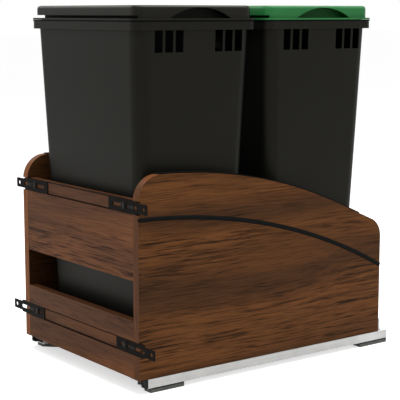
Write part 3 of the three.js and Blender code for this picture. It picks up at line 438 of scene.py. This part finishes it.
def band_edges(piece, face_axis, banding):
    """The banding goes on every face that doesn't look along the board's face axis."""
    recoat(piece, banding, lambda face: abs(face.normal[face_axis]) < FACING)


def extent(piece, axis):
    """The lowest and the highest coordinate of a piece on an axis."""
    values = [corner.co[axis] for corner in piece.data.vertices]
    return min(values), max(values)


def shade_kerfs(piece, kerf_shade):
    """The walls and floors of the kerfs beside the brackets, but not the recess between them,
    painted dark as the shade in them.
    """
    front = extent(piece, ALONG)[0]
    tracks = [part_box(f"door_bracket_{level}_right") for level in LEVELS]

    def in_kerf(face):
        depth = face.center.y - front
        beside = any(low.z - KERF_REACH < face.center.z < high.z + KERF_REACH
                     for low, high in tracks)
        recess_floor = face.normal.y < -FACING and depth < RECESS_FLOOR
        return beside and KERF_START < depth < KERF_END and not recess_floor

    recoat(piece, kerf_shade, in_kerf)


# Painted shade: a near-black copy of the veneer goes on the kerfs' walls and floors, where shade
# falls.
kerf_shade = walnut("scorched_kerf", LEVEL_ACROSS, (0.6, 0.3, 0.8), KERF_SHADE_TINT, lines=0.3)
upright_banding = walnut("edge_banding_upright", UPRIGHT, (0.4, 0.1, 0.7), EDGE_TINT, lines=0.2)
level_banding = walnut("edge_banding_level", LEVEL_ACROSS, (0.2, 0.5, 0.3), EDGE_TINT, lines=0.25)

for side, inward, shift in (("left", 1, (0.9, 0.3, 0.15)), ("right", -1, (0.1, 0.0, 0.05))):
    panel = dressed(f"side_panel_{side}", f"walnut_side_{side}", "carriage",
                    walnut(f"veneer_side_{side}", LEVEL_ALONG, shift), PANEL_EDGE)
    band_edges(panel, ACROSS, upright_banding)
    # The inner faces take a copy painted darker low down, as the shade inside the box.
    recoat(panel, walnut(f"veneer_inside_{side}", LEVEL_ALONG, shift, shaded_low=True),
           lambda face: face.normal.x * inward > FACING)
    shade_kerfs(panel, kerf_shade)

for node, name, shift in (
        ("lower_front_board", "walnut_front_lower", (0.35, 0.8, 0.21)),
        ("upper_front_board", "walnut_front_upper", (0.75, 0.2, 0.52)),
        ("back_board", "walnut_back", (1.35, 0.4, 0.9))):
    board = dressed(node, name, "carriage",
                    walnut(f"veneer_{name}", LEVEL_ACROSS, shift, FRONT_SHEEN_TINT), BOARD_EDGE)
    band_edges(board, ALONG, level_banding)
    shade_kerfs(board, kerf_shade)

base = dressed("base_board", "walnut_base", "carriage",
               walnut("veneer_base", LEVEL_ACROSS, (0.5, 1.1, 0.0)), BOARD_EDGE)
band_edges(base, UP, level_banding)

# ---------------------------------------------------------------- black strips
# A half-round black strip is pressed into the curved groove of each side panel, and a flat wear
# strip is glued along the falling top edge.

STRIP_EDGE = 0.4 * MM

strip_plastic = skinned("strip_plastic", low=(0.0030, 0.0033, 0.0031),
                        high=(0.0052, 0.0057, 0.0054), blotch_scale=35, grain_scale=1100,
                        grain=0.2, roughness=0.55, specular=0.06)
for side in SIDES:
    dressed(f"inlay_strip_{side}", f"curved_inlay_{side}", "carriage",
            strip_plastic, STRIP_EDGE)
    dressed(f"edge_strip_{side}", f"wear_strip_{side}", "carriage",
            strip_plastic, STRIP_EDGE)

# ---------------------------------------------------------------- bin battens
# Short walnut battens are glued on the base board, one against the front and one against the back
# of each bin's foot, so that the bins stay put when the box is pulled out.

BATTEN_EDGE = 0.8 * MM

batten_wood = walnut("batten_walnut", LEVEL_ACROSS, (0.3, 0.9, 0.4), EDGE_TINT, lines=0.3)
for holder in ENDS:
    for end in ("front", "back"):
        dressed(f"{holder}_bin_cleat_{end}", f"{holder}_bin_batten_{end}", "carriage",
                batten_wood, BATTEN_EDGE)

# ---------------------------------------------------------------- door brackets
# Four stamped brackets with a black powder coat, their long edges bent back into the saw kerfs
# across the front. A screw through a moulded clamp in each one's slot holds it to the wood.

BRACKET_EDGE = 0.35 * MM
DISC_RIM = 1.3 * MM                     # left round the recess that is sunk in the clamp's disc
DISC_RECESS = 1.1 * MM
SCREW_HEAD_RADIUS = 3.2 * MM
SCREW_HEAD_SIDES = 24
SCREW_ROUNDING = 0.5 * MM
SCREW_SINK = 0.4 * MM                   # the head's face lies behind the disc's by this
SCREW_LENGTH = 1.5 * MM                 # ends inside the disc, clear of the sliding bracket
CROSS_LENGTH = 4.2 * MM
CROSS_WIDTH = 0.8 * MM
CROSS_DEPTH = 1.0 * MM

powder_coat = skinned("black_powder_coat", low=(0.0038, 0.0030, 0.0022),
                      high=(0.0060, 0.0048, 0.0035), blotch_scale=45, grain_scale=1700,
                      grain=0.5, roughness=0.50, specular=0.04)
clamp_plastic = skinned("clamp_plastic", low=(0.0040, 0.0040, 0.0038),
                        high=(0.0066, 0.0066, 0.0062), blotch_scale=60, grain_scale=1300,
                        grain=0.25, roughness=0.45, specular=0.12)
screw_steel = plated("screw_steel", low=(0.045, 0.040, 0.034), high=(0.085, 0.076, 0.066),
                     roughness=0.34)


def sink_disc(clamp):
    """A round recess in the front of the clamp's disc, for the head of its screw."""
    front = extent(clamp, ALONG)[0]
    take_up(clamp)
    bpy.ops.object.mode_set(mode="EDIT")
    bpy.ops.mesh.select_all(action="DESELECT")
    bpy.ops.object.mode_set(mode="OBJECT")
    for face in clamp.data.polygons:
        face.select = face.center.y < front + NEAR
    bpy.ops.object.mode_set(mode="EDIT")
    bpy.ops.mesh.inset(thickness=DISC_RIM, depth=0)
    bpy.ops.mesh.extrude_region_move(TRANSFORM_OT_translate={"value": (0, DISC_RECESS, 0)})
    bpy.ops.object.mode_set(mode="OBJECT")
    bpy.ops.object.shade_smooth_by_angle(angle=SMOOTH_ANGLE)


def plate_between(name, start, end):
    """A plate that fills the space between two corners, in any order."""
    bpy.ops.object.select_all(action="DESELECT")
    bpy.ops.mesh.primitive_cube_add(
        size=1, location=[(a + b) / 2 for a, b in zip(start, end)],
        scale=[abs(b - a) for a, b in zip(start, end)])
    plate = bpy.context.object
    plate.name = name
    bpy.ops.object.transform_apply(location=True, rotation=True, scale=True)
    return plate


def worked(piece, tool, operation):
    """A piece with the shape of a tool cut out of it or joined to it, and the tool put away."""
    change = piece.modifiers.new(tool.name, "BOOLEAN")
    change.operation = operation
    change.object = tool
    take_up(piece)
    bpy.ops.object.modifier_apply(modifier=change.name)
    bpy.data.objects.remove(tool)


def clamp_screw(name, x, front, z):
    """A flat screw head with a cross recess, facing the front."""
    bpy.ops.object.select_all(action="DESELECT")
    bpy.ops.mesh.primitive_cylinder_add(
        vertices=SCREW_HEAD_SIDES, radius=SCREW_HEAD_RADIUS, depth=SCREW_LENGTH,
        location=(x, front + SCREW_LENGTH / 2, z), rotation=(math.pi / 2, 0, 0))
    screw = bpy.context.object
    screw.name = name
    bpy.ops.object.transform_apply(location=True, rotation=True, scale=True)
    rounding = screw.modifiers.new("round edge", "BEVEL")
    rounding.width = SCREW_ROUNDING
    rounding.segments = 3
    rounding.limit_method = "ANGLE"
    bpy.ops.object.modifier_apply(modifier=rounding.name)
    for width, height in ((CROSS_LENGTH, CROSS_WIDTH), (CROSS_WIDTH, CROSS_LENGTH)):
        blade = plate_between("cross_blade", (x - width / 2, front - CROSS_DEPTH, z - height / 2),
                              (x + width / 2, front + CROSS_DEPTH, z + height / 2))
        worked(screw, blade, "DIFFERENCE")
    bpy.ops.object.shade_smooth_by_angle(angle=SMOOTH_ANGLE)
    screw.data.materials.append(screw_steel)
    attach(screw, "carriage")


for level in LEVELS:
    for side in SIDES:
        dressed(f"door_bracket_{level}_{side}", f"stamped_bracket_{level}_{side}",
                f"bracket_{level}_{side}", powder_coat, BRACKET_EDGE)
        clamp = dressed(f"bracket_clamp_{level}_{side}", f"moulded_clamp_{level}_{side}",
                        "carriage", clamp_plastic, BRACKET_EDGE)
        sink_disc(clamp)
        low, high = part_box(f"bracket_clamp_{level}_{side}")
        disc_radius = (high.z - low.z) / 2
        disc_x = low.x + disc_radius if side == "right" else high.x - disc_radius
        clamp_screw(f"clamp_screw_{level}_{side}", disc_x, low.y + SCREW_SINK,
                    (low.z + high.z) / 2)

# ---------------------------------------------------------------- bins
# Two injection-moulded bins in black polypropylene with a fine satin grain. The turned-over rim
# stiffens the mouth and carries the lid on a thin lip, and slots under it let air in at both sides.
# The insides and that lip take a darker, duller copy of the plastic as painted shade: the shade
# within, and the shadow line under the lid.

BIN_EDGE = 0.8 * MM
RIM_LIP_HEIGHT = 2.1 * MM               # thin lip along the rim's top, painted with the inside's shade as the shadow line under the lid
INWARD_MARGIN = 1 * MM
WARM_SHEEN = (1.0, 0.97, 0.78)

bin_black = skinned("bin_polypropylene", low=(0.0044, 0.0043, 0.0034),
                    high=(0.0058, 0.0057, 0.0045), blotch_scale=7, grain_scale=1200,
                    grain=0.22, roughness=0.42, specular=0.15, sheen=WARM_SHEEN)
# A darker, duller copy of the bin's plastic, painted as shade on the inside and on the rim's lip.
bin_inside = skinned("bin_inside", low=(0.0012, 0.0012, 0.0010), high=(0.0020, 0.0020, 0.0017),
                     blotch_scale=7, grain_scale=1200, grain=0.22, roughness=0.60, specular=0.04)


def middle_of(piece):
    """The middle of a piece across and along the cabinet."""
    return [sum(extent(piece, axis)) / 2 for axis in (ACROSS, ALONG)]


def shade_inside_and_lip(moulding):
    """The inside of a bin, which looks back to its upright middle line, and the rim's lip, painted
    with shade.
    """
    across, along = middle_of(moulding)
    lip_foot = extent(moulding, UP)[1] - RIM_LIP_HEIGHT

    def dull(face):
        outward = (face.normal.x * (face.center.x - across)
                   + face.normal.y * (face.center.y - along))
        return face.center.z > lip_foot or outward < -INWARD_MARGIN

    recoat(moulding, bin_inside, dull)


for place in ENDS:
    shade_inside_and_lip(dressed(f"{place}_bin", f"{place}_bin_moulding", f"{place}_bin",
                        bin_black, BIN_EDGE, segments=3))

# ---------------------------------------------------------------- lids
# A hollow cap with a skirt that drops in the bin's mouth. A finger gap runs under its front edge
# and each side has an arched scoop, whose floor is a ledge of its own that closes the cap's hollow.
# The front lid is black and the rear one green. Their recesses take a duller copy of the plastic,
# darker too on the green lid, as painted shade.

LID_EDGE = 0.7 * MM
RECESS_INSET = 10 * MM                  # how far inside the lid's outline a recess's faces lie
OUTLINE_RADIUS = 17 * MM                # corners of that outline
CAP_ROUNDING = 7 * MM                   # depth of the lid's top that the round edge takes up
CROWN_SLOPE = 0.1                       # faces of the lid's top look upwards by at least this
SCOOP_LENGTH = 130 * MM
SCOOP_SHIFT = 9.5 * MM                  # scoops' middle behind the lid's middle
SCOOP_BACK = (21.9 * MM, 24.2 * MM)     # the scoop's back wall, inward from the lid's edge
LEDGE_START = 11 * MM                   # where the ledge leaves the lid's own floor, inward too
LEDGE_THICKNESS = 2.4 * MM
CAP_HEIGHT = 22.1 * MM                  # from the ledge's top to the lid's top
RISER_HEIGHT = 2.6 * MM                 # up to the foot of the scoop's back wall

lid_black = skinned("lid_black", low=(0.0040, 0.0039, 0.0032), high=(0.0055, 0.0054, 0.0044),
                    blotch_scale=9, grain_scale=1200, grain=0.22, roughness=0.34, specular=0.18,
                    sheen=WARM_SHEEN)
lid_green = skinned("lid_green", low=(0.0165, 0.171, 0.040), high=(0.0225, 0.195, 0.0495),
                    blotch_scale=9, grain_scale=1200, grain=0.22, roughness=0.36, specular=0.24)
# Painted shade for the lids' recesses: the black plastic less glossy, the green one darker and less
# glossy.
black_recess_shade = skinned("black_lid_recess", low=(0.0040, 0.0040, 0.0033),
                       high=(0.0054, 0.0054, 0.0045), blotch_scale=9, grain_scale=1200,
                       grain=0.22, roughness=0.60, specular=0.12)
green_recess_shade = skinned("green_lid_recess", low=(0.011, 0.095, 0.018), high=(0.015, 0.108, 0.022),
                       blotch_scale=9, grain_scale=1200, grain=0.22, roughness=0.50, specular=0.14)


def shade_recesses(lid, material):
    """The finger gap, scoops and hollow underside, painted with a duller copy of the plastic as
    shade.
    """
    across, along = middle_of(lid)
    half_width = extent(lid, ACROSS)[1] - across - OUTLINE_RADIUS
    half_depth = extent(lid, ALONG)[1] - along - OUTLINE_RADIUS
    top = extent(lid, UP)[1]

    def recessed(face):
        past_x = abs(face.center.x - across) - half_width
        past_y = abs(face.center.y - along) - half_depth
        outside = (math.hypot(max(past_x, 0), max(past_y, 0)) + min(max(past_x, past_y), 0)
                   - OUTLINE_RADIUS)
        crown = face.normal.z > CROWN_SLOPE and face.center.z > top - CAP_ROUNDING
        return outside < -RECESS_INSET and not crown

    recoat(lid, material, recessed)


def scoop_ledge(lid, side, material):
    """The moulded floor of a scoop, with the low riser that joins it to the scoop's back wall."""
    low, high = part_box(lid)
    edge, inward = (high.x, -1) if side == "right" else (low.x, 1)
    middle = (low.y + high.y) / 2 + SCOOP_SHIFT
    ends = (middle - SCOOP_LENGTH / 2, middle + SCOOP_LENGTH / 2)
    top = high.z - CAP_HEIGHT
    back = [edge + inward * reach for reach in SCOOP_BACK]
    ledge = plate_between(f"{lid}_scoop_ledge_{side}",
                          (edge + inward * LEDGE_START, ends[0], top - LEDGE_THICKNESS),
                          (back[1], ends[1], top))
    riser = plate_between("riser", (back[0], ends[0], top - LEDGE_THICKNESS / 2),
                          (back[1], ends[1], top + RISER_HEIGHT))
    worked(ledge, riser, "UNION")
    ledge.data.materials.clear()
    ledge.data.materials.append(material)
    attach(ledge, lid)


for place, slot, skin, recess in (("front", "bin_plastic", lid_black, black_recess_shade),
                                  ("rear", "green_plastic", lid_green, green_recess_shade)):
    shade_recesses(dressed(f"{place}_lid", f"{place}_lid_moulding", f"{place}_lid",
                          skin, LID_EDGE, segments=3), recess)
    for side in SIDES:
        scoop_ledge(f"{place}_lid", side, recess)

# ---------------------------------------------------------------- studio
# A pale seamless floor, a white surround, and softboxes overhead, high on the left, to the camera's
# left and above the camera. A grey card behind the cabinet dims what its top edges mirror. The
# camera stands where the photograph was taken from.

FLOOR_SIZE = 60
FLOOR_LOW = (0.80, 0.80, 0.80)
FLOOR_HIGH = (0.84, 0.84, 0.84)
STAGE_ROUGHNESS = 0.9
TONE_SIZE = 0.8                         # of the faint clouds on the floor and the card
FLOOR_LIFT = 0.45                       # brings the floor to white and leaves it its shadow
MIRROR_LIFT = 0.15
SURROUND = 0.47                         # strength of the white surround as a light
WHITE = (1, 1, 1, 1)
BLACK = (0, 0, 0, 1)
CARD_PLACE = (-2.4, 1.8, 1.8)
CARD_TURN = 53.3                        # square to the camera's view
CARD_SIZE = (4.4, 3.6)
CARD_GREY = (0.24, 0.24, 0.23)
CARD_PALE = (0.30, 0.30, 0.29)
CAMERA_PLACE = (1.86967, -1.40908, 0.63903)
CAMERA_DROP = 8.635                     # degrees that it looks below level
CAMERA_TURN = 53.347
CAMERA_LENS = 111.466
CAMERA_SENSOR = 36
CAMERA_REACH = 100


def seen_or_reflected(tree):
    """1 for rays that show the background: to the camera, or by way of metal or glass."""
    path = shader_node(tree, "LightPath")
    either = combined(tree, "MAXIMUM", path.outputs["Is Camera Ray"],
                      path.outputs["Is Glossy Ray"])
    return combined(tree, "MAXIMUM", either, path.outputs["Is Transmission Ray"])


bpy.ops.object.select_all(action="DESELECT")
bpy.ops.mesh.primitive_plane_add(size=FLOOR_SIZE, location=(0, 0, 0))
floor = bpy.context.object
floor.name = "studio_floor"
floor_paint, tree, shader, place = new_surface("studio_floor", STAGE_ROUGHNESS, specular=0.0)
tree.links.new(mixed(tree, cloud(tree, place, TONE_SIZE), FLOOR_LOW, FLOOR_HIGH),
               shader.inputs["Base Color"])
lift = shader_node(tree, "Emission", {"Color": WHITE})
seen = shader_node(tree, "LightPath").outputs["Is Camera Ray"]
strength = combined(tree, "ADD", combined(tree, "MULTIPLY", seen, FLOOR_LIFT),
                    combined(tree, "MULTIPLY", seen_or_reflected(tree), MIRROR_LIFT))
tree.links.new(strength, lift.inputs["Strength"])
both = shader_node(tree, "AddShader", {0: shader.outputs[0], 1: lift.outputs[0]})
tree.links.new(both.outputs[0], tree.nodes["Material Output"].inputs["Surface"])
floor.data.materials.append(floor_paint)

bpy.ops.object.select_all(action="DESELECT")
bpy.ops.mesh.primitive_plane_add(size=1, location=CARD_PLACE,
                                 rotation=(math.pi / 2, 0, math.radians(CARD_TURN)))
card = bpy.context.object
card.name = "grey_card"
card.scale = (*CARD_SIZE, 1)
bpy.ops.object.transform_apply(location=True, rotation=True, scale=True)
card.visible_camera = False
card.visible_diffuse = False
card.visible_transmission = False
card.visible_shadow = False
card_paint, tree, shader, place = new_surface("grey_card", STAGE_ROUGHNESS, specular=0.0)
shader.inputs["Base Color"].default_value = BLACK
tree.links.new(mixed(tree, cloud(tree, place, TONE_SIZE), CARD_GREY, CARD_PALE),
               shader.inputs["Emission Color"])
shader.inputs["Emission Strength"].default_value = 1.0
card.data.materials.append(card_paint)

world = bpy.data.worlds.new("studio_world")
bpy.context.scene.world = world
world.use_nodes = True
sky = world.node_tree
backdrop = sky.nodes["Background"]
backdrop.inputs["Color"].default_value = WHITE
brightness = shader_node(sky, "MapRange", {"Value": seen_or_reflected(sky), "To Min": SURROUND,
                                           "To Max": 1.0})
sky.links.new(brightness.outputs[0], backdrop.inputs["Strength"])


def softbox(name, place, turn, size, power):
    """A flat lamp that the camera doesn't see."""
    lamp = bpy.data.lights.new(name, "AREA")
    lamp.shape = "RECTANGLE"
    lamp.size, lamp.size_y = size
    lamp.energy = power
    holder = bpy.data.objects.new(name, lamp)
    holder.location = place
    holder.rotation_euler = [math.radians(angle) for angle in turn]
    holder.visible_camera = False
    bpy.context.scene.collection.objects.link(holder)


softbox("softbox_overhead", place=(0.2, 0.6, 2.6), turn=(0, 0, 0), size=(1.1, 2.6), power=56)
softbox("softbox_left", place=(-2.4, -0.3, 2.3), turn=(0, -53, 0), size=(1.6, 1.6), power=16)
softbox("softbox_front", place=(-0.9, -3.0, 1.5), turn=(68, 0, -17), size=(2.2, 2.2), power=11)
softbox("softbox_camera", place=(2.2, -1.9, 2.3), turn=(58, 0, 51), size=(1.3, 0.4), power=9)

lens = bpy.data.cameras.new("photo_camera")
lens.lens = CAMERA_LENS
lens.sensor_width = CAMERA_SENSOR
lens.clip_end = CAMERA_REACH
camera = bpy.data.objects.new("photo_camera", lens)
camera.location = CAMERA_PLACE
camera.rotation_euler = (math.radians(90 - CAMERA_DROP), 0, math.radians(CAMERA_TURN))
bpy.context.scene.collection.objects.link(camera)
bpy.context.scene.camera = camera
bpy.context.scene.view_settings.view_transform = "Standard"
